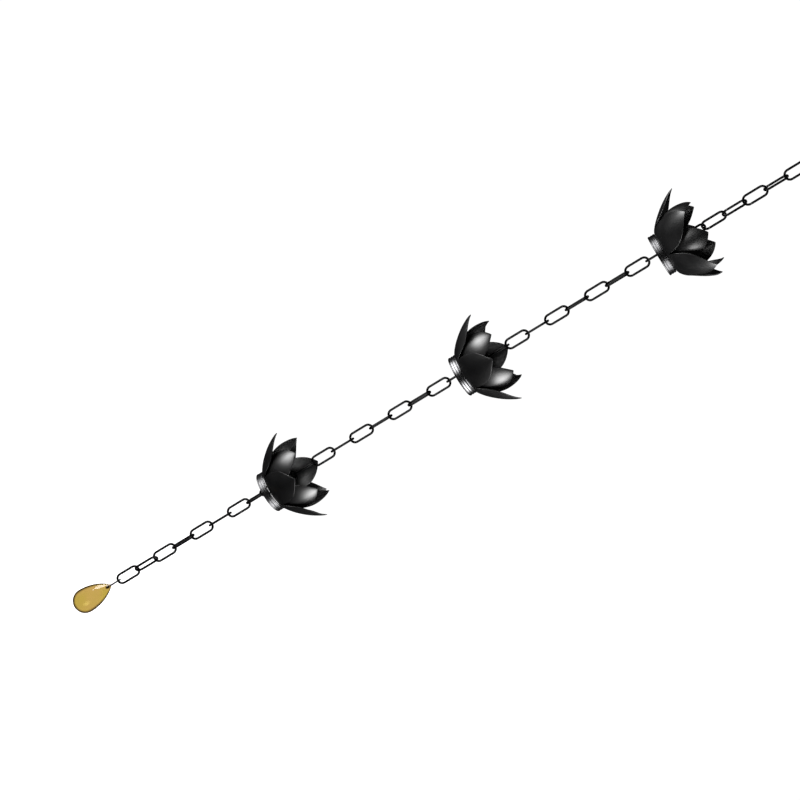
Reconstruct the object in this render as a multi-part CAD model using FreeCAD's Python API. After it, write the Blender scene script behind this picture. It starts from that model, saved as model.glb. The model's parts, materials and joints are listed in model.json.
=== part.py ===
import FreeCAD
import Part
import math
import os

# Rain chain with three lotus cups, in millimetres. The chain hangs plumb down -Z. The origin
# is the inside of the top link's crown, where a gutter hook carries the whole chain. The
# front of the chain faces -Y.

# Full links: one round wire bent to an oval and closed with a butt seam in one leg.
LINK_WIRE = 3.0
LINK_INNER_LENGTH = 29.3
LINK_INNER_WIDTH = 9.4
SEAM_GAP = 1.0
# Slack between two wires that hang in one another.
PLAY = 0.25

# Short links have the same wire and the same crowns. One carries the top cup, and two
# follow under the bottom cup.
SHORT_LINK_INNER_LENGTH = 22.0
SHORT_LINKS = (7, 28, 29)

# The plane of each link, in degrees from the X axis. Links cross one another, and the chain
# is a little twisted above the top cup and around the bottom one. The last link of each of
# the first three runs carries a cup.
TOP_RUN_TURNS = (0, 107, 10, 118, 35, 135, 20)
UPPER_RUN_TURNS = (90, 0, 103, 0, 98, 0, 90, 0, 90, 0)
LOWER_RUN_TURNS = (90, 0, 103, 0, 95, 0, 90, 0, 90, -17)
TAIL_TURNS = (43, 100, 172, 90, 0, 102, 0, 60, 0)

# Cups: two stamped blanks nested on a ring collar. Turns are in degrees about the chain.
CUP_TURNS = {"top": 187, "middle": 2, "bottom": 2}
PETALS = 5
SHEET = 1.0
# The flat hubs, and the hole through both that the chain and the water pass.
OUTER_HUB_RADIUS = 27.5
HUB_STEP = 5.5
DRAIN_RADIUS = 11.5
# How far the collar's top edge lies below the seat of the link that carries the cup.
HUB_DROP = 5.5

# A petal of each blank: how far it spreads beyond the hub's rim, how high its tip stands above
# the hub's underside, half its width, and how far its edges curl in. Its root laps into the hub.
OUTER_SPREAD = 36.8
OUTER_RISE = 47.5
OUTER_HALF_WIDTH = 22.0
OUTER_CURL = 8.0
INNER_SPREAD = 25.0
INNER_RISE = 58.0
INNER_HALF_WIDTH = 20.0
INNER_CURL = 8.2
ROOT_LAP = 4.0
# The shape between the hub's rim and the tip, row by row, in shares of those four sizes. The
# first row lies just inside the rim, and its height is a share of the sheet.
OUTER_SHAPE = (
    (-0.014, 0.35, 0.845, 0.10),
    (0.125, 0.07, 0.945, 0.40),
    (0.315, 0.187, 1.00, 0.75),
    (0.557, 0.389, 0.945, 1.00),
    (0.753, 0.598, 0.78, 0.725),
    (0.885, 0.785, 0.46, 0.27),
    (0.948, 0.893, 0.25, 0.10),
    (1.00, 1.00, 0.027, 0.01),
)
INNER_SHAPE = (
    (-0.02, 0.35, 0.69, 0.10),
    (0.304, 0.083, 0.86, 0.39),
    (0.68, 0.241, 0.97, 0.78),
    (0.90, 0.414, 1.00, 1.00),
    (1.00, 0.603, 0.955, 0.93),
    (0.985, 0.79, 0.69, 0.56),
    (0.935, 0.914, 0.36, 0.20),
    (0.86, 1.00, 0.03, 0.015),
)
# How far each petal's tip is bent out by hand, one value for each petal round the cup.
OUTER_TIP_BENDS = (0.0, 1.0, -1.2, 1.4, -0.6)
INNER_TIP_BENDS = (0.8, -3.0, 0.6, -0.4, 1.2)
# Where the edge's curl has got to half-way out from the midrib. A round section has 0.25,
# and more than that leaves a crease along the midrib.
MIDRIB_CREASE = 0.28
TIP_THINNING = 0.5

# Collar ring under the hubs: a thin wall with a bead at each edge and one in the middle.
COLLAR_HEIGHT = 9.0
COLLAR_WALL = 1.2
BEAD_RADIUS = 1.1
MIDDLE_BEAD_RADIUS = 0.5

# Bail: the wire staple that hangs each cup on its link. Its two legs go through both hubs.
# It stands on the cup's middle line, so the cup hangs level, and beside the chain's line.
BAIL_WIRE = 2.0
BAIL_WIDTH = 28.0
BAIL_BEND = 4.0
BAIL_GAP = 0.6
BAIL_SEAT_GAP = 0.45
BAIL_HOLE_CLEARANCE = 0.15
BAIL_HEAD_RADIUS = 2.2
BAIL_HEAD_HEIGHT = 1.2

# The small ring that carries the drop.
RING_WIRE = 2.0
RING_INNER_LENGTH = 17.4
RING_INNER_WIDTH = 9.0

# Teardrop weight: a round tip, a flank that is one long arc, and a round bottom. The eye
# crosses its neck below a wall of solid material.
DROP_LENGTH = 57.5
DROP_RADIUS = 16.3
TIP_RADIUS = 2.8
EYE_WALL = 2.4

# The inner radius of a link's crown.
CROWN_RADIUS = LINK_INNER_WIDTH / 2
INNER_HUB_RADIUS = OUTER_HUB_RADIUS - HUB_STEP
# How far a bail's bar, and the cup with it, stands beside the chain's line.
BAIL_OFFSET = LINK_WIRE / 2 + BAIL_GAP + BAIL_WIRE / 2
# The drop's widest level below its apex. The flank's arc is centred there, inward of the
# chain's line, so that it meets the round tip and the round bottom without a corner.
BELLY_DEPTH = DROP_LENGTH - DROP_RADIUS
TIP_SPAN = BELLY_DEPTH - TIP_RADIUS
TIP_REST = DROP_RADIUS - TIP_RADIUS
FLANK_INWARD = (TIP_SPAN ** 2 - TIP_REST ** 2) / (2 * TIP_REST)
FLANK_RADIUS = DROP_RADIUS + FLANK_INWARD
# Half the neck's thickness at the eye's roof. The ring's foot is curved, so the roof rests on
# it with the two ends of the eye, and the eye is high enough for the curve to pass.
NECK_HALF = math.sqrt(FLANK_RADIUS ** 2 - (BELLY_DEPTH - EYE_WALL) ** 2) - FLANK_INWARD
RING_CROWN = RING_INNER_WIDTH / 2
MOUTH_RISE = RING_CROWN - math.sqrt(RING_CROWN ** 2 - NECK_HALF ** 2)
EYE_RADIUS = (RING_WIRE + MOUTH_RISE) / 2 + PLAY


def wire_link(inner_length, inner_width, wire):
    """An upright oval of round wire in the XZ plane about the origin, with an open butt
    seam where its right leg meets the lower crown."""
    radius = inner_width / 2 + wire / 2
    half_leg = (inner_length - inner_width) / 2
    seam = FreeCAD.Vector(radius, 0, -half_leg + SEAM_GAP)
    right_top = FreeCAD.Vector(radius, 0, half_leg)
    left_top = FreeCAD.Vector(-radius, 0, half_leg)
    left_foot = FreeCAD.Vector(-radius, 0, -half_leg)
    right_foot = FreeCAD.Vector(radius, 0, -half_leg)
    crown = FreeCAD.Vector(0, 0, half_leg + radius)
    foot = FreeCAD.Vector(0, 0, -half_leg - radius)
    path = Part.Wire([
        Part.makeLine(seam, right_top),
        Part.Arc(right_top, crown, left_top).toShape(),
        Part.makeLine(left_top, left_foot),
        Part.Arc(left_foot, foot, right_foot).toShape(),
    ])
    section = Part.Wire([Part.makeCircle(wire / 2, seam, FreeCAD.Vector(0, 0, 1))])
    return path.makePipeShell([section], True, True)


def turned(shape, degrees):
    """A copy of the shape, turned about the chain's own line."""
    copy = shape.copy()
    copy.rotate(FreeCAD.Vector(0, 0, 0), FreeCAD.Vector(0, 0, 1), degrees)
    return copy


def lowered(shape, height):
    """The shape, moved to a height on the chain."""
    shape.translate(FreeCAD.Vector(0, 0, height))
    return shape


def petal_section(middle, outward, half_width, curl, thickness):
    """The closed outline of the sheet across a petal. Middle is the point of the outer face
    on the midrib, and outward is the direction out of that face."""
    across = FreeCAD.Vector(0, 1, 0)

    def point(side, depth):
        sideways = across * (side * half_width)
        return middle + sideways - outward * depth

    half_curl = curl * MIDRIB_CREASE
    outer = [point(-1, curl), point(-0.5, half_curl), point(0, 0)]
    outer += [point(0.5, half_curl), point(1, curl)]
    inner = [p - outward * thickness for p in outer]
    return Part.Wire([
        Part.Arc(outer[0], outer[1], outer[2]).toShape(),
        Part.Arc(outer[2], outer[3], outer[4]).toShape(),
        Part.makeLine(outer[4], inner[4]),
        Part.Arc(inner[4], inner[3], inner[2]).toShape(),
        Part.Arc(inner[2], inner[1], inner[0]).toShape(),
        Part.makeLine(inner[0], outer[0]),
    ])


def petal_stations(spread, tip_rise, half_width, curl, shape):
    """The petal's rows in millimetres, from the root inside the hub's sheet to the tip."""
    rim, *rows = shape
    root_width = 0.88 * rim[2] * half_width
    stations = [(-ROOT_LAP, 0.25 * SHEET, root_width, 0.05 * curl)]
    stations.append((rim[0] * spread, rim[1] * SHEET, rim[2] * half_width, rim[3] * curl))
    for reach, rise, width, bend in rows:
        stations.append((reach * spread, rise * tip_rise, width * half_width, bend * curl))
    return stations


def petal(stations, hub_radius, tip_bend):
    """One petal that stands out along +X, lofted through its stations. Its root lies inside
    the hub's sheet, and its upper half leans out by the bend."""
    tip_rise = stations[-1][1]
    midrib = []
    for reach, rise, _, _ in stations:
        lean = tip_bend * (rise / tip_rise) ** 2
        midrib.append(FreeCAD.Vector(hub_radius + reach + lean, 0, rise))
    curve = Part.BSplineCurve()
    curve.interpolate(midrib)
    sections = []
    for index, (middle, station) in enumerate(zip(midrib, stations)):
        _, _, half_width, curl = station
        along = curve.tangent(curve.parameter(middle))[0]
        outward = FreeCAD.Vector(along.z, 0, -along.x)
        thickness = SHEET
        if index == 0:
            thickness = SHEET - 2 * stations[0][1]
        if index == len(stations) - 1:
            thickness = SHEET * TIP_THINNING
        sections.append(petal_section(middle, outward, half_width, curl, thickness))
    return Part.makeLoft(sections, True, False)


def bail_leg_places():
    """Where the bail's two legs cross the hubs."""
    return [FreeCAD.Vector(0, side * BAIL_WIDTH / 2, 0) for side in (-1, 1)]


def blank(stations, hub_radius, tip_bends, first_turn):
    """A stamped and folded blank: petals round a flat hub, with the drain hole and the
    bail's two holes. The hub's underside lies at z = 0."""
    hub = Part.makeCylinder(hub_radius, SHEET)
    petals = []
    for index, bend in enumerate(tip_bends):
        azimuth = first_turn + index * 360 / PETALS
        petals.append(turned(petal(stations, hub_radius, bend), azimuth))
    solid = hub.fuse(petals)
    drain = Part.makeCylinder(DRAIN_RADIUS, 4 * SHEET, FreeCAD.Vector(0, 0, -SHEET))
    solid = solid.cut(drain)
    hole_radius = BAIL_WIRE / 2 + BAIL_HOLE_CLEARANCE
    for place in bail_leg_places():
        below = place - FreeCAD.Vector(0, 0, SHEET)
        solid = solid.cut(Part.makeCylinder(hole_radius, 4 * SHEET, below))
    return solid.Solids[0]


def collar():
    """The ring under the hubs, with its top edge at z = 0."""
    outside = OUTER_HUB_RADIUS - BEAD_RADIUS / 2
    inside = outside - COLLAR_WALL
    wall = Part.makeCylinder(outside, COLLAR_HEIGHT).cut(Part.makeCylinder(inside, COLLAR_HEIGHT))
    top = COLLAR_HEIGHT - BEAD_RADIUS
    beads = [
        Part.makeTorus(outside - BEAD_RADIUS / 2, BEAD_RADIUS, FreeCAD.Vector(0, 0, top)),
        Part.makeTorus(outside - BEAD_RADIUS / 2, BEAD_RADIUS, FreeCAD.Vector(0, 0, BEAD_RADIUS)),
        Part.makeTorus(outside, MIDDLE_BEAD_RADIUS, FreeCAD.Vector(0, 0, COLLAR_HEIGHT / 2)),
    ]
    ring = wall.fuse(beads)
    ring = ring.cut(Part.makeCylinder(inside, COLLAR_HEIGHT))
    return lowered(ring.removeSplitter(), -COLLAR_HEIGHT).Solids[0]


def bail():
    """The staple whose top bar lies in the crown of the carrying link, beside the next
    link's crown. Heights are measured from the hub's underside."""
    reach = CROWN_RADIUS - BAIL_WIRE / 2 - BAIL_SEAT_GAP
    bar_height = HUB_DROP + CROWN_RADIUS - math.sqrt(reach ** 2 - BAIL_OFFSET ** 2)
    half = BAIL_WIDTH / 2
    slack = BAIL_BEND * (1 - math.sqrt(0.5))

    def point(y, z):
        return FreeCAD.Vector(0, y, z)

    path = Part.Wire([
        Part.makeLine(point(-half, 0), point(-half, bar_height - BAIL_BEND)),
        Part.Arc(
            point(-half, bar_height - BAIL_BEND),
            point(-half + slack, bar_height - slack),
            point(-half + BAIL_BEND, bar_height),
        ).toShape(),
        Part.makeLine(point(-half + BAIL_BEND, bar_height), point(half - BAIL_BEND, bar_height)),
        Part.Arc(
            point(half - BAIL_BEND, bar_height),
            point(half - slack, bar_height - slack),
            point(half, bar_height - BAIL_BEND),
        ).toShape(),
        Part.makeLine(point(half, bar_height - BAIL_BEND), point(half, 0)),
    ])
    section = Part.Wire([Part.makeCircle(BAIL_WIRE / 2, point(-half, 0), FreeCAD.Vector(0, 0, 1))])
    staple = path.makePipeShell([section], True, True)
    heads = []
    for leg in bail_leg_places():
        foot = leg - FreeCAD.Vector(0, 0, BAIL_HEAD_HEIGHT)
        heads.append(Part.makeCylinder(BAIL_HEAD_RADIUS, BAIL_HEAD_HEIGHT, foot))
    return staple.fuse(heads).removeSplitter().Solids[0]


def drop():
    """The teardrop, with its apex at the origin. Its eye runs along Y."""

    def tip(angle):
        return FreeCAD.Vector(
            TIP_RADIUS * math.cos(angle), 0, TIP_RADIUS * math.sin(angle) - TIP_RADIUS
        )

    def flank(angle):
        return FreeCAD.Vector(
            FLANK_RADIUS * math.cos(angle) - FLANK_INWARD,
            0,
            FLANK_RADIUS * math.sin(angle) - BELLY_DEPTH,
        )

    tilt = math.atan2(TIP_SPAN, FLANK_INWARD)
    apex_point = FreeCAD.Vector(0, 0, 0)
    bottom = FreeCAD.Vector(0, 0, -DROP_LENGTH)
    low = DROP_RADIUS * math.sqrt(0.5)
    low_point = FreeCAD.Vector(low, 0, -BELLY_DEPTH - low)
    outline = Part.Wire([
        Part.Arc(apex_point, tip((math.pi / 2 + tilt) / 2), tip(tilt)).toShape(),
        Part.Arc(tip(tilt), flank(tilt / 2), flank(0)).toShape(),
        Part.Arc(flank(0), low_point, bottom).toShape(),
        Part.makeLine(bottom, apex_point),
    ])
    body = Part.Face(outline).revolve(apex_point, FreeCAD.Vector(0, 0, 1), 360)
    eye_end = FreeCAD.Vector(0, -DROP_RADIUS, -EYE_WALL - EYE_RADIUS)
    eye = Part.makeCylinder(EYE_RADIUS, 2 * DROP_RADIUS, eye_end, FreeCAD.Vector(0, 1, 0))
    return body.cut(eye).Solids[0]


def save(shape, name):
    """Write one piece and print what it holds."""
    if shape.ShapeType != "Solid":
        shape = shape.Solids[0]
    shape.exportStep(os.path.join("parts", name + ".step"))
    print(f"{name}: valid {shape.isValid()}, {shape.Volume:.1f} mm3, {len(shape.Faces)} faces")


def hang_links(turns, seat, first_number):
    """Hang links one under another from a seat, and return the next seat: the height of the
    last link's inner foot."""
    for number, turn in enumerate(turns, first_number):
        short = number in SHORT_LINKS
        length = SHORT_LINK_INNER_LENGTH if short else LINK_INNER_LENGTH
        middle = seat + PLAY - length / 2
        save(lowered(turned(short_link if short else full_link, turn), middle), f"link_{number:02d}")
        seat = middle - length / 2
    return seat


def hang_cup(name, seat):
    """Set one cup on the link whose inner foot is the seat. The bail is the same either way
    round, so every cup stands to the right of the chain's line."""
    level = seat - HUB_DROP
    turn = CUP_TURNS[name]
    beside = math.radians(turn % 180)
    shift = FreeCAD.Vector(BAIL_OFFSET * math.cos(beside), BAIL_OFFSET * math.sin(beside), 0)
    pieces = {
        "collar": (collar_ring, level),
        "outer_petals": (outer_blank, level),
        "inner_petals": (inner_blank, level + SHEET),
        "bail": (bail_staple, level),
    }
    for piece, (shape, height) in pieces.items():
        placed = lowered(turned(shape, turn), height)
        placed.translate(shift)
        save(placed, f"{name}_{piece}")


os.makedirs("parts", exist_ok=True)

full_link = wire_link(LINK_INNER_LENGTH, LINK_INNER_WIDTH, LINK_WIRE)
short_link = wire_link(SHORT_LINK_INNER_LENGTH, LINK_INNER_WIDTH, LINK_WIRE)
collar_ring = collar()
bail_staple = bail()
# The first outer petal faces the front, and the inner ones stand between the outer ones.
outer_petal = petal_stations(OUTER_SPREAD, OUTER_RISE, OUTER_HALF_WIDTH, OUTER_CURL, OUTER_SHAPE)
inner_petal = petal_stations(INNER_SPREAD, INNER_RISE, INNER_HALF_WIDTH, INNER_CURL, INNER_SHAPE)
outer_blank = blank(outer_petal, OUTER_HUB_RADIUS, OUTER_TIP_BENDS, -90)
inner_blank = blank(inner_petal, INNER_HUB_RADIUS, INNER_TIP_BENDS, -90 + 180 / PETALS)

# The chain from the top down.
seat = hang_links(TOP_RUN_TURNS, -PLAY, 1)
hang_cup("top", seat)
number = 1 + len(TOP_RUN_TURNS)
seat = hang_links(UPPER_RUN_TURNS, seat, number)
hang_cup("middle", seat)
number += len(UPPER_RUN_TURNS)
seat = hang_links(LOWER_RUN_TURNS, seat, number)
hang_cup("bottom", seat)
number += len(LOWER_RUN_TURNS)
seat = hang_links(TAIL_TURNS, seat, number)

# The ring crosses the last link, and the drop's eye crosses the ring.
ring_middle = seat + PLAY - RING_INNER_LENGTH / 2
drop_ring = wire_link(RING_INNER_LENGTH, RING_INNER_WIDTH, RING_WIRE)
save(lowered(turned(drop_ring, 90), ring_middle), "drop_ring")
seat = ring_middle - RING_INNER_LENGTH / 2
apex = seat + MOUTH_RISE + PLAY + EYE_WALL
save(lowered(drop(), apex), "drop")
print(f"the chain ends at z = {apex - DROP_LENGTH:.1f}")
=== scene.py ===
# %% [markdown]
# # A rain chain with three lotus cups
#
# A rain chain hangs from a gutter and leads the water down from cup to cup. This one has black
# links bent from round wire, three cups that are folded like a lotus from sheet metal, and a
# drop of amber glass that keeps the chain straight. The solid pieces come from the packed
# model, already in their places. This lesson dresses them, models the links and petals again
# with the fine edges of real wire and sheet, and lights the chain like a catalogue picture.

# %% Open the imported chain
import json
import math

import bmesh
import bpy
from mathutils import Matrix, Vector


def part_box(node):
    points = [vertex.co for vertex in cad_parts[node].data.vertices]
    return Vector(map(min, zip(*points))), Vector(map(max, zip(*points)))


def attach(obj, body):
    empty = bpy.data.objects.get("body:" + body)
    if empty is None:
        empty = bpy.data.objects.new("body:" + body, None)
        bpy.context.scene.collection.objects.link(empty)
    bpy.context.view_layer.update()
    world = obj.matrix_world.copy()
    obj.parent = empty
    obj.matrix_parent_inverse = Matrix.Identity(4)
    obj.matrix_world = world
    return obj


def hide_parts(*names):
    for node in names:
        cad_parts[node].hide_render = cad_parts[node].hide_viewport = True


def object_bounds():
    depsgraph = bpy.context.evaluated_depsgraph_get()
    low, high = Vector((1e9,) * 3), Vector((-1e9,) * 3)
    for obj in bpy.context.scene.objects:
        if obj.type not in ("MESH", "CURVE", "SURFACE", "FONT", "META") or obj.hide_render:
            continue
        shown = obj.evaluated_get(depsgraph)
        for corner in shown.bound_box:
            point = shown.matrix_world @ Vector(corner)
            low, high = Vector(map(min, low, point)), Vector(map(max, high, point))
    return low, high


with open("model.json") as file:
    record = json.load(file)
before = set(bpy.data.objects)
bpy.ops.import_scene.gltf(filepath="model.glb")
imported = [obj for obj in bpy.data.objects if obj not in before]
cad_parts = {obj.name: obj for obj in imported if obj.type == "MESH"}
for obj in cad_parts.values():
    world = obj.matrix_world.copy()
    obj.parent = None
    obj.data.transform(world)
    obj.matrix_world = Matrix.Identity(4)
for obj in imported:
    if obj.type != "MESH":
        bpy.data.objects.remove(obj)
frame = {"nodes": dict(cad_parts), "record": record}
solid_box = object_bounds()
MM = 0.001
print(len(frame["nodes"]), "solid pieces, from", solid_box[0], "to", solid_box[1])

# %% [markdown]
# ## The camera
#
# The photo shows the whole chain in a long, slanted line. The chain itself hangs plumb, so the
# camera is rolled instead. It looks a little down on the chain from 2.6 m away: the upper cup
# is seen from the side and the lower one shows more of its inside, as in the photo. A long
# lens keeps the three cups almost the same size.

# %% Place the camera
AIM = Vector((-0.0111, 0, -0.5815))
DISTANCE = 2.6
LOOKING_DOWN = math.radians(10.5)
ROLL = math.radians(58.78)
LENS = 92.45
SENSOR_WIDTH = 36

scene = bpy.context.scene
camera_data = bpy.data.cameras.new("camera")
camera_data.lens = LENS
camera_data.sensor_width = SENSOR_WIDTH
camera = bpy.data.objects.new("camera", camera_data)
scene.collection.objects.link(camera)
standpoint = AIM + DISTANCE * Vector((0, -math.cos(LOOKING_DOWN), math.sin(LOOKING_DOWN)))
upright = Matrix.Rotation(math.pi / 2 - LOOKING_DOWN, 4, "X")
camera.matrix_world = Matrix.Translation(standpoint) @ upright @ Matrix.Rotation(ROLL, 4, "Z")
scene.camera = camera
print("the camera stands at", tuple(round(v, 3) for v in standpoint))

# %% [markdown]
# ## The floor
#
# The photo has a plain white ground, so the floor is white and shines by itself, as evenly as a
# light table. It lies well under the drop. Black enamel would mirror it and glass would show it,
# so it is kept out of both, as a black card would do in a studio.
#
# The floor and all finishes start in the same way: a material whose Principled BSDF gets a few
# plain values. Two helpers do that.

# %% Make the floor
FLOOR_RADIUS = 4.0
FLOOR_SIDES = 96
FLOOR_GAP = 0.7
WHITE = (1, 1, 1, 1)


def set_inputs(node, values):
    """Set a node's sockets, by their names."""
    for name, value in values.items():
        node.inputs[name].default_value = value


def new_material(name, values):
    """A material with these values in its Principled BSDF, and that node and the node tree."""
    material = bpy.data.materials.new(name)
    material.use_nodes = True
    shader = material.node_tree.nodes["Principled BSDF"]
    set_inputs(shader, values)
    return material, shader, material.node_tree


floor_mesh = bpy.data.meshes.new("floor")
bm = bmesh.new()
bmesh.ops.create_circle(bm, cap_ends=True, radius=FLOOR_RADIUS, segments=FLOOR_SIDES)
bmesh.ops.translate(bm, verts=bm.verts, vec=(0, 0, solid_box[0][2] - FLOOR_GAP))
bm.to_mesh(floor_mesh)
bm.free()
floor_paint, _, _ = new_material("floor_paint", {
    "Base Color": (0.9, 0.9, 0.9, 1),
    "Roughness": 0.9,
    "Emission Color": WHITE,
    "Emission Strength": 1.0,
})
floor_mesh.materials.append(floor_paint)
floor = bpy.data.objects.new("floor", floor_mesh)
floor.visible_glossy = False
floor.visible_diffuse = False
floor.visible_shadow = False
floor.visible_transmission = False
scene.collection.objects.link(floor)
print("a floor", FLOOR_GAP, "m under the drop")

# %% [markdown]
# ## The light
#
# Black enamel shows little but what it reflects, so the lights matter more here than the paint.
# Two wide soft panels stand left and right of the chain. They give the broad grey highlights
# on the inner petals and the two bright patches on each collar. Their cloth is dimmer towards
# the edges, so the highlights fade out softly. Straight ahead nothing shines, and the front
# petals stay dark. A weaker panel overhead shows the hubs inside the cups. Two more are for the
# glass alone.

# %% Make a soft panel
def soft_panel(
    name, azimuth, distance, height, aim_height, size, power,
    tone=(1, 1, 1), dim_from=0.05, dim_to=0.48,
):
    """A panel at an azimuth about the chain, counted in degrees from the front to the right.

    It shines fully up to dim_from of its size from its centre, and not at all from dim_to."""
    light = bpy.data.lights.new(name, "AREA")
    light.shape = "RECTANGLE"
    light.size, light.size_y = size
    light.energy = power
    light.color = tone
    light.use_nodes = True
    nodes, links = light.node_tree.nodes, light.node_tree.links
    cloth = nodes.new("ShaderNodeNewGeometry")
    off_centre = nodes.new("ShaderNodeVectorMath")
    off_centre.operation = "DISTANCE"
    off_centre.inputs[1].default_value = (0.5, 0.5, 0)
    links.new(cloth.outputs["Parametric"], off_centre.inputs[0])
    falloff = nodes.new("ShaderNodeMapRange")
    falloff.interpolation_type = "SMOOTHSTEP"
    set_inputs(falloff, {"From Min": dim_from, "From Max": dim_to, "To Min": 1.0, "To Max": 0.0})
    links.new(off_centre.outputs["Value"], falloff.inputs["Value"])
    links.new(falloff.outputs["Result"], nodes["Emission"].inputs["Strength"])
    panel = bpy.data.objects.new(name, light)
    turn = math.radians(azimuth)
    place = Vector((distance * math.sin(turn), -distance * math.cos(turn), height))
    facing = (Vector((0, 0, aim_height)) - place).to_track_quat("-Z", "Y")
    panel.matrix_world = Matrix.Translation(place) @ facing.to_matrix().to_4x4()
    panel.visible_camera = False
    panel.visible_transmission = False
    scene.collection.objects.link(panel)
    return panel


# %% [markdown]
# The distances, heights and sizes are in metres and the power in watts. The two side panels
# stand a little below the chain's middle, where the lower cups are. The panels for the glass
# stand so that the drop mirrors them: one on its left shoulder, the other faint, warm and low
# on its right.

# %% Set up the panels
side_panel = {
    "distance": 1.6, "height": -0.75, "aim_height": -0.75, "size": (3.4, 1.55), "power": 400,
}
metal_lights = [
    soft_panel("left_panel", azimuth=-64, **side_panel),
    soft_panel("right_panel", azimuth=72, **side_panel),
    soft_panel(
        "top_panel", azimuth=180, distance=0.5, height=1.4, aim_height=-0.5,
        size=(1.6, 1.6), power=110,
    ),
]
glass_lights = [
    soft_panel(
        "glass_panel", azimuth=-88, distance=1.6, height=-0.05, aim_height=-0.05,
        size=(1.7, 1.3), power=85, dim_from=0.6, dim_to=0.8,
    ),
    soft_panel(
        "glow_panel", azimuth=29, distance=1.6, height=-1.4, aim_height=-1.08,
        size=(1.7, 0.8), power=21, tone=(1.0, 0.8, 0.3),
    ),
]
print(len(metal_lights + glass_lights), "panels")

# %% [markdown]
# Round the panels lies a room. The camera has to see it white, also through the glass, but the
# enamel has to mirror a dark one. Light Path tells which kind of ray asks for the colour.

# %% Paint the room
WHITE_ROOM = (1.05, 1.05, 1.05, 1)
DARK_ROOM = (0.010, 0.010, 0.011, 1)

world = bpy.data.worlds.new("studio")
scene.world = world
world.use_nodes = True
nodes, links = world.node_tree.nodes, world.node_tree.links
seen = nodes.new("ShaderNodeLightPath")
through = nodes.new("ShaderNodeMath")
through.operation = "MAXIMUM"
links.new(seen.outputs["Is Camera Ray"], through.inputs[0])
links.new(seen.outputs["Is Transmission Ray"], through.inputs[1])
walls = nodes.new("ShaderNodeMix")
walls.data_type = "RGBA"
set_inputs(walls, {"A": DARK_ROOM, "B": WHITE_ROOM})
links.new(through.outputs[0], walls.inputs["Factor"])
links.new(walls.outputs["Result"], nodes["Background"].inputs["Color"])
scene.view_settings.view_transform = "Standard"
print("a room that is white to the camera and dark to the enamel")

# %% [markdown]
# ## Finishes
#
# The wire and the petals are coated with satin black enamel. Enamel isn't mirror smooth: it is
# a little rougher here and there, and it has a very fine unevenness that breaks up the
# highlights. Both come from noise in object coordinates, so they stay on the metal. The wire
# gets less gloss, because it would otherwise pick up each panel as a white line. The collars
# are of a dark, polished metal.

# %% Mix the enamels
CLOUD_SCALE = 60
CLOUD_RANGE = (0.3, 0.7)
DARKER, LIGHTER = 0.75, 1.25
PEEL_DEPTH = 0.02
BLACK = (0.001, 0.001, 0.0011)
DARK_METAL = (0.075, 0.075, 0.077)


def painted(name, colour, roughness, spread, grain, relief, metal=0.0, gloss=0.5):
    """An enamel. Roughness wanders by the spread, and the grain is in millimetres."""
    material, shader, tree = new_material(name, {
        "Metallic": metal,
        "Specular IOR Level": gloss,
    })
    nodes, links = tree.nodes, tree.links
    place = nodes.new("ShaderNodeTexCoord")
    clouds = nodes.new("ShaderNodeTexNoise")
    set_inputs(clouds, {"Scale": CLOUD_SCALE, "Detail": 4})
    links.new(place.outputs["Object"], clouds.inputs["Vector"])
    wander = nodes.new("ShaderNodeMapRange")
    set_inputs(wander, {
        "From Min": CLOUD_RANGE[0],
        "From Max": CLOUD_RANGE[1],
        "To Min": roughness - spread,
        "To Max": roughness + spread,
    })
    links.new(clouds.outputs["Fac"], wander.inputs["Value"])
    links.new(wander.outputs["Result"], shader.inputs["Roughness"])
    tint = nodes.new("ShaderNodeValToRGB")
    for stop, share in zip(tint.color_ramp.elements, (DARKER, LIGHTER)):
        stop.color = (*[share * c for c in colour], 1)
    links.new(clouds.outputs["Fac"], tint.inputs["Fac"])
    links.new(tint.outputs["Color"], shader.inputs["Base Color"])
    peel = nodes.new("ShaderNodeTexNoise")
    set_inputs(peel, {"Scale": 1 / (grain * MM), "Detail": 2})
    links.new(place.outputs["Object"], peel.inputs["Vector"])
    bump = nodes.new("ShaderNodeBump")
    set_inputs(bump, {"Strength": relief, "Distance": PEEL_DEPTH * MM})
    links.new(peel.outputs["Fac"], bump.inputs["Height"])
    links.new(bump.outputs["Normal"], shader.inputs["Normal"])
    return material


petal_enamel = painted(
    "petal_enamel", BLACK, roughness=0.36, spread=0.03, grain=1.2, relief=0.15
)
wire_enamel = painted(
    "wire_enamel", BLACK, roughness=0.35, spread=0.05, grain=0.6, relief=0.3, gloss=0.05
)
collar_enamel = painted(
    "collar_enamel", DARK_METAL, roughness=0.27, spread=0.02, grain=2.0, relief=0.02, metal=1.0
)
print("mixed", petal_enamel.name, wire_enamel.name, "and", collar_enamel.name)

# %% [markdown]
# The drop is a solid piece of clear honey glass. Melted glass keeps soft streaks of a greener
# and a browner tone, so a wide noise mixes the two. Round its rim the base colour is painted
# with a dark brown shade, which stands in for the dark edge that glass shows. Layer Weight finds
# that rim from any side.

# %% Melt the glass
GREENER = (0.35, (0.50, 0.37, 0.06, 1))
BROWNER = (0.6, (0.58, 0.37, 0.11, 1))
# The rim colour is painted shade: a dark brown for the parts of the drop seen edge-on.
RIM_PAINTED_SHADE = (0.012, 0.006, 0.002, 1)
RIM_SHADE_RANGE = (0.36, 0.56)
STREAK_SCALE = 45
WAVE_SCALE = 60
WAVE_DEPTH = 0.3

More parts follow.
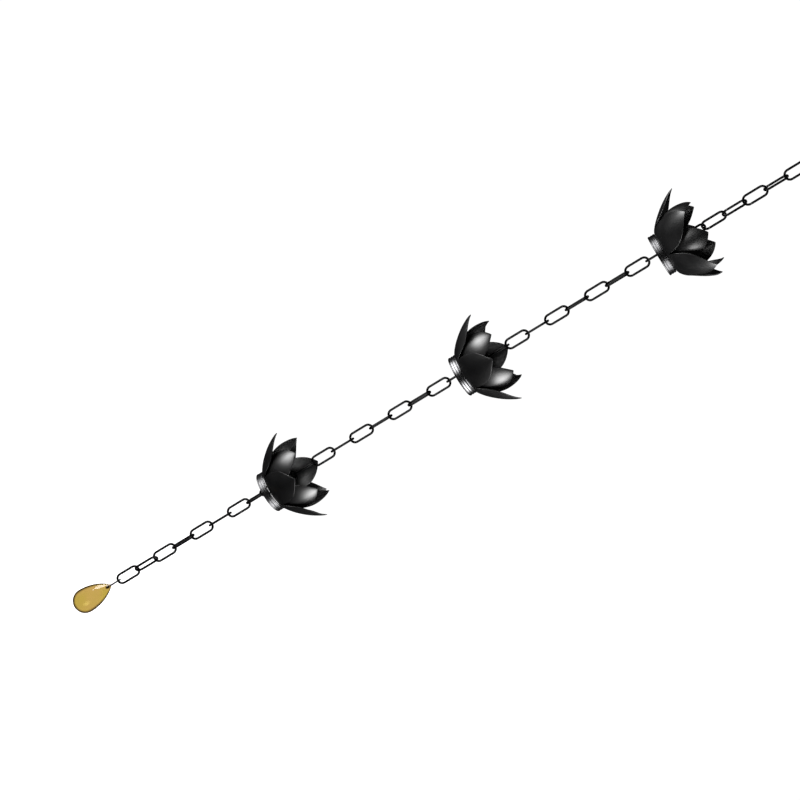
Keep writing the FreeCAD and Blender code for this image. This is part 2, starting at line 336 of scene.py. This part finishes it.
amber_glass, shader, tree = new_material("amber_glass", {
    "Transmission Weight": 1,
    "Roughness": 0.03,
    "IOR": 1.45,
})
nodes, links = tree.nodes, tree.links
place = nodes.new("ShaderNodeTexCoord")
melt = nodes.new("ShaderNodeTexNoise")
set_inputs(melt, {"Scale": STREAK_SCALE, "Detail": 1})
links.new(place.outputs["Object"], melt.inputs["Vector"])
honey = nodes.new("ShaderNodeValToRGB")
for stop, (position, tone) in zip(honey.color_ramp.elements, (GREENER, BROWNER)):
    stop.position = position
    stop.color = tone
links.new(melt.outputs["Fac"], honey.inputs["Fac"])
# Painted shade: Layer Weight darkens the base colour towards dark brown where the surface is
# seen edge-on.
edge_on = nodes.new("ShaderNodeLayerWeight")
set_inputs(edge_on, {"Blend": 0.5})
rim = nodes.new("ShaderNodeMapRange")
set_inputs(rim, {"From Min": RIM_SHADE_RANGE[0], "From Max": RIM_SHADE_RANGE[1]})
links.new(edge_on.outputs["Facing"], rim.inputs["Value"])
paint_rim_shade = nodes.new("ShaderNodeMix")
paint_rim_shade.data_type = "RGBA"
set_inputs(paint_rim_shade, {"B": RIM_PAINTED_SHADE})
links.new(rim.outputs["Result"], paint_rim_shade.inputs["Factor"])
links.new(honey.outputs["Color"], paint_rim_shade.inputs["A"])
links.new(paint_rim_shade.outputs["Result"], shader.inputs["Base Color"])
swell = nodes.new("ShaderNodeTexNoise")
set_inputs(swell, {"Scale": WAVE_SCALE, "Detail": 0})
links.new(place.outputs["Object"], swell.inputs["Vector"])
waves = nodes.new("ShaderNodeBump")
set_inputs(waves, {"Strength": 0.1, "Distance": WAVE_DEPTH * MM})
links.new(swell.outputs["Fac"], waves.inputs["Height"])
links.new(waves.outputs["Normal"], shader.inputs["Normal"])
print("melted", amber_glass.name)

# %% [markdown]
# ## The solid pieces
#
# The bails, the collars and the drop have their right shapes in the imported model. They only
# get their finishes, chosen by the material slot that the record gives each piece.

# %% Dress the solid pieces
FINISHES = {
    "black_wire": wire_enamel,
    "black_petal": petal_enamel,
    "collar_metal": collar_enamel,
    "amber_glass": amber_glass,
}
for part in frame["record"]["subparts"]:
    piece = frame["nodes"][part["node"]]
    piece.data.materials.clear()
    piece.data.materials.append(FINISHES[part["material_slot"]])

# %% [markdown]
# The wide panels would cover the glass with pale reflections. In a studio a black card keeps
# them off it, and here light linking does the same. The glass gets its own two panels: one
# leaves a crisp highlight on its left shoulder, and the other a faint glow low on the right.

# %% Keep the wide panels off the glass
glass = frame["nodes"]["drop"]
card = bpy.data.collections.new("card")
card.objects.link(glass)
card.collection_objects[0].light_linking.link_state = "EXCLUDE"
only_glass = bpy.data.collections.new("only glass")
only_glass.objects.link(glass)
for panels, receivers in ((metal_lights, card), (glass_lights, only_glass)):
    for panel in panels:
        panel.light_linking.receiver_collection = receivers
print("the glass is lit by", [panel.name for panel in glass_lights])

# %% [markdown]
# ## From a drawing to a mesh
#
# The links and the petals are drawn in millimetres by bmesh operators, and then become meshes
# in metres. An extrusion numbers its new edges and faces in another order in every run. They
# are sorted by their places, so that each run gives the same mesh. The slanted direction is
# one in which no two of them lie level.

# %% Turn a drawing into a mesh
SLANTED = Vector((1, math.sqrt(2), math.sqrt(3)))


def of_kind(geometry, kind):
    """The corners, edges or faces among what an operator made."""
    return [item for item in geometry if isinstance(item, kind)]


def smooth_mesh(bm, name):
    """A smooth mesh in metres of what was drawn in millimetres."""
    bmesh.ops.scale(bm, verts=bm.verts, vec=(MM, MM, MM))
    bm.edges.sort(key=lambda e: SLANTED.dot(e.verts[0].co + e.verts[1].co))
    bm.faces.sort(key=lambda f: SLANTED.dot(f.calc_center_median()))
    mesh = bpy.data.meshes.new(name)
    bm.to_mesh(mesh)
    bm.free()
    mesh.shade_smooth()
    return mesh


# %% [markdown]
# ## The links
#
# A link is one piece of round wire, bent to an oval. Its ends meet low in one leg. The solid
# links keep a safe gap there. A real seam is pressed almost shut, and its two cut ends are a
# little rounded. So each link is bent again: a circle of points is drawn up a leg, spun round
# the crown, drawn down the other leg and spun round the foot to where it began.

# %% Draw a wire
def draw_wire(bm, end, height, scale=1.0):
    """Draw the wire's open end straight up or down to a height, and scale it there."""
    grown = bmesh.ops.extrude_edge_only(bm, edges=end)["geom"]
    ring = of_kind(grown, bmesh.types.BMVert)
    middle = sum((v.co for v in ring), Vector()) / len(ring)
    bmesh.ops.scale(bm, verts=ring, vec=(scale, scale, 1), space=Matrix.Translation(-middle))
    bmesh.ops.translate(bm, verts=ring, vec=(0, 0, height - middle.z))
    return of_kind(grown, bmesh.types.BMEdge)


# %% [markdown]
# The sharp angle keeps the flat cut ends flat, and everything else is shaded smooth. The small
# ring that carries the drop is bent in the same way, from a thinner wire.

# %% Bend a link
WIRE_SIDES = 20
CROWN_STEPS = 16
SEAM_HEIGHT = 0.5
SEAM = 0.15
CUT_ROUNDING = 0.2
SHARP_ANGLE = math.radians(40)


def bend_link(name, inner_length, inner_width, wire):
    """An upright oval in the XZ plane about the origin, with its seam in the right leg."""
    bm = bmesh.new()
    reach = (inner_width + wire) / 2
    half_leg = (inner_length - inner_width) / 2
    seam = SEAM_HEIGHT - half_leg
    cut = 1 - CUT_ROUNDING / (wire / 2)
    place = Matrix.Translation((reach, 0, seam + SEAM / 2))
    bmesh.ops.create_circle(bm, segments=WIRE_SIDES, radius=cut * wire / 2, matrix=place)
    first = list(bm.edges)
    end = draw_wire(bm, first, seam + SEAM / 2 + CUT_ROUNDING, 1 / cut)
    for side in (1, -1):
        centre = (0, 0, side * half_leg)
        end = draw_wire(bm, end, side * half_leg)
        spun = bmesh.ops.spin(
            bm, geom=end, cent=centre, axis=(0, -1, 0), angle=math.pi, steps=CROWN_STEPS
        )
        end = of_kind(spun["geom_last"], bmesh.types.BMEdge)
    end = draw_wire(bm, end, seam - SEAM / 2 - CUT_ROUNDING)
    last = draw_wire(bm, end, seam - SEAM / 2, cut)
    for ring in (first, last):
        bmesh.ops.contextual_create(bm, geom=ring)
    bmesh.ops.recalc_face_normals(bm, faces=bm.faces)
    mesh = smooth_mesh(bm, name)
    mesh.set_sharp_from_angle(angle=SHARP_ANGLE)
    mesh.materials.append(wire_enamel)
    return mesh


full_link = bend_link("full_link", inner_length=29.3, inner_width=9.4, wire=3.0)
short_link = bend_link("short_link", inner_length=22.0, inner_width=9.4, wire=3.0)
small_ring = bend_link("small_ring", inner_length=17.4, inner_width=9.0, wire=2.0)
print("a link has", len(full_link.polygons), "faces")

# %% [markdown]
# Links cross one another, and the photo shows that the chain is a little twisted above the
# top cup and near its end. Each number is the turn of one link about the chain, in degrees.
# The turn and the place go into the copied mesh, so that every piece keeps the chain's origin.

# %% Hang the links
LINK_TURNS = (
    0, 107, 10, 118, 35, 135, 20,
    90, 0, 103, 0, 98, 0, 90, 0, 90, 0,
    90, 0, 103, 0, 95, 0, 90, 0, 90, -17,
    43, 100, 172, 90, 0, 102, 0, 60, 0,
)
SHORT_LINKS = (7, 28, 29)
RING_TURN = 90

wires = [("drop_ring", small_ring, RING_TURN)]
for number, turn in enumerate(LINK_TURNS, 1):
    shape = short_link if number in SHORT_LINKS else full_link
    wires.append((f"link_{number:02d}", shape, turn))
for node, shape, turn in wires:
    low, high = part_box(node)
    mesh = shape.copy()
    place = Matrix.Translation((0, 0, (low.z + high.z) / 2))
    mesh.transform(place @ Matrix.Rotation(math.radians(turn), 4, "Z"))
    piece = bpy.data.objects.new(f"{node}_wire", mesh)
    scene.collection.objects.link(piece)
    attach(piece, "root")
    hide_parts(node)
print("hung", len(wires), "wires")

# %% [markdown]
# ## The petals
#
# Each cup has two blanks. A blank is one sheet: five petals round a flat hub, cut out, creased
# along their midribs and folded up. A cut sheet has soft edges that catch the light, and a
# solid model has sharp ones. So the sheet is modelled again as a thin surface that grows out
# of the hub's rim, row by row. A Subdivision Surface rounds it, Solidify gives it the thickness
# of the metal, and Bevel softens the cut edges.
#
# Each row has four sizes in millimetres: how far out from the hub's rim it lies, how high, half
# its width, and how far its edges curl in. No real petal is bent quite like its neighbour, so
# most tips also lean out or in a little, by up to 3 mm.

# %% The sizes of the petals
PETALS = 5
ACROSS = 8
OUTER_ROWS = (
    (4.6, 3.3, 20.8, 3.2),
    (11.6, 8.9, 22.2, 6.0),
    (20.5, 18.5, 21.2, 8.0),
    (27.7, 28.4, 17.8, 5.8),
    (32.6, 37.3, 10.8, 2.4),
    (34.9, 42.4, 5.6, 0.8),
    (36.8, 47.5, 0.0, 0.0),
)
INNER_ROWS = (
    (7.6, 4.8, 17.4, 3.2),
    (17.0, 14.0, 19.6, 6.4),
    (22.5, 24.0, 20.3, 8.2),
    (25.0, 35.0, 19.6, 7.6),
    (24.7, 45.8, 14.4, 4.6),
    (23.4, 53.0, 7.6, 1.6),
    (21.5, 58.0, 0.0, 0.0),
)
OUTER_TIP_BENDS = (0.0, 1.0, -1.2, 1.4, -0.6)
INNER_TIP_BENDS = (0.8, -3.0, 0.6, -0.4, 1.2)
OUTER_HUB_RADIUS = 27.5
INNER_HUB_RADIUS = 22.0
print("the outer petals rise", OUTER_ROWS[-1][1], "mm and the inner ones", INNER_ROWS[-1][1])

# %% [markdown]
# A row is deepest at its edges. Most of its fall from the midrib is round, like a cup, and a
# small share is straight, which makes the slight ridge along the midrib. A weak crease keeps
# that ridge when the surface is rounded. A row's edges curl in at right angles to the petal's
# slope, and the slope of the first row is counted from a point a little inside the hub's rim.

# %% Grow a petal from the hub's rim
RIDGE = 0.12
MIDRIB_CREASE = 0.15
ROOT_INSET = 4


def direction(azimuth):
    """The level direction at an azimuth in degrees, counted from X."""
    turn = math.radians(azimuth)
    return Vector((math.cos(turn), math.sin(turn), 0))


def curl_depth(side):
    """How deep a point lies, from 0 at the midrib to 1 at the edge."""
    return RIDGE * abs(side) + (1 - RIDGE) * side * side


def grow_petal(bm, rim, azimuth, rows, hub_radius, tip_bend, crease):
    """Extrude the sheet from a stretch of the rim, one row after another, to the tip."""
    out = direction(azimuth)
    across = Vector((-out.y, out.x, 0))
    up = Vector((0, 0, 1))
    tip_rise = rows[-1][1]
    places = [(hub_radius - ROOT_INSET, 0.0)]
    for reach, rise, _, _ in rows:
        places.append((hub_radius + reach + tip_bend * (rise / tip_rise) ** 2, rise))
    row = sorted(rim, key=lambda v: v.co.dot(across))
    for index, (_, _, half_width, curl) in enumerate(rows, 1):
        edges = [bm.edges.get(pair) for pair in zip(row, row[1:])]
        grown = bmesh.ops.extrude_edge_only(bm, edges=edges)["geom"]
        row = of_kind(grown, bmesh.types.BMVert)
        row.sort(key=lambda v: v.co.dot(across))
        before = places[index - 1]
        after = places[min(index + 1, len(places) - 1)]
        slope = Vector((after[0] - before[0], after[1] - before[1])).normalized()
        outward = out * slope.y - up * slope.x
        middle = out * places[index][0] + up * places[index][1]
        for count, vert in enumerate(row):
            side = 2 * count / ACROSS - 1
            vert.co = middle + across * side * half_width - outward * curl * curl_depth(side)
        midrib = row[ACROSS // 2]
        for edge in midrib.link_edges:
            if edge.other_vert(midrib) not in row:
                edge[crease] = MIDRIB_CREASE
    bmesh.ops.pointmerge(bm, verts=row, merge_co=row[ACROSS // 2].co)


# %% [markdown]
# The blank starts as a circle, the hub's rim. Extruding the rim inwards gives the flat ring
# round the drain hole. Then each fifth of the rim grows into a petal, starting at the front.
# One degree of slack takes in the points on the borders of a fifth. A crease at each tip
# keeps it pointed. The faces must look outwards, down at the hub, because Solidify works from
# the outer face inwards.

# %% Fold a blank
DRAIN_RADIUS = 11.5
TIP_CREASE = 0.7
FIRST_PETAL = -90
HALF_PETAL = 180 / PETALS
RIM_SLACK = 1


def fold_blank(name, rows, hub_radius, tip_bends, first_azimuth):
    """One blank in its own frame, with the hub's underside at height 0."""
    bm = bmesh.new()
    crease = bm.edges.layers.float.new("crease_edge")
    sharp = bm.verts.layers.float.new("crease_vert")
    bmesh.ops.create_circle(bm, radius=hub_radius, segments=PETALS * ACROSS)
    rim = list(bm.verts)
    edges = list(bm.edges)
    for radius in ((hub_radius + DRAIN_RADIUS) / 2, DRAIN_RADIUS):
        grown = bmesh.ops.extrude_edge_only(bm, edges=edges)["geom"]
        ring = of_kind(grown, bmesh.types.BMVert)
        edges = of_kind(grown, bmesh.types.BMEdge)
        shrink = radius / ring[0].co.length
        bmesh.ops.scale(bm, verts=ring, vec=(shrink, shrink, 1))
    near = math.cos(math.radians(HALF_PETAL + RIM_SLACK)) * hub_radius
    for index, bend in enumerate(tip_bends):
        azimuth = first_azimuth + index * 2 * HALF_PETAL
        stretch = [v for v in rim if v.co.dot(direction(azimuth)) > near]
        grow_petal(bm, stretch, azimuth, rows, hub_radius, bend, crease)
    for vert in bm.verts:
        if vert.is_boundary and len(vert.link_faces) == ACROSS:
            vert[sharp] = TIP_CREASE
    bmesh.ops.recalc_face_normals(bm, faces=bm.faces)
    if min(bm.faces, key=lambda f: f.calc_center_median().length).normal.z > 0:
        bmesh.ops.reverse_faces(bm, faces=bm.faces)
    mesh = smooth_mesh(bm, name)
    print(name, "has", len(mesh.polygons), "faces before it is rounded")
    return mesh


outer_blank = fold_blank(
    "outer_blank", OUTER_ROWS, OUTER_HUB_RADIUS, OUTER_TIP_BENDS, FIRST_PETAL
)
inner_blank = fold_blank(
    "inner_blank", INNER_ROWS, INNER_HUB_RADIUS, INNER_TIP_BENDS, FIRST_PETAL + HALF_PETAL
)

# %% [markdown]
# The same two blanks serve for all three cups. Each copy is turned and moved in its mesh, to
# where the collar of its cup is: the outer blank lies on the collar, and the inner one on the
# outer.

# %% Set the blanks on the collars
SHEET = 1.0
EDGE_ROUNDING = 0.3
CUT_ANGLE = math.radians(50)
CUP_TURNS = {"top": 187, "middle": 2, "bottom": 2}
LAYERS = (("outer_petals", outer_blank, 0), ("inner_petals", inner_blank, SHEET))

for cup, turn in CUP_TURNS.items():
    low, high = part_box(f"{cup}_collar")
    centre = (low + high) / 2
    for layer, blank, lift in LAYERS:
        mesh = blank.copy()
        place = Vector((centre.x, centre.y, high.z + lift * MM))
        mesh.transform(Matrix.Translation(place) @ Matrix.Rotation(math.radians(turn), 4, "Z"))
        mesh.materials.append(petal_enamel)
        piece = bpy.data.objects.new(f"{cup}_{layer}_sheet", mesh)
        scene.collection.objects.link(piece)
        rounding = piece.modifiers.new("rounding", "SUBSURF")
        rounding.levels = rounding.render_levels = 2
        wall = piece.modifiers.new("sheet", "SOLIDIFY")
        wall.thickness = SHEET * MM
        wall.offset = -1
        edge = piece.modifiers.new("cut edge", "BEVEL")
        edge.width = EDGE_ROUNDING * MM
        edge.segments = 2
        edge.limit_method = "ANGLE"
        edge.angle_limit = CUT_ANGLE
        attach(piece, "root")
        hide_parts(f"{cup}_{layer}")
print("set", len(CUP_TURNS) * len(LAYERS), "sheets on the collars")
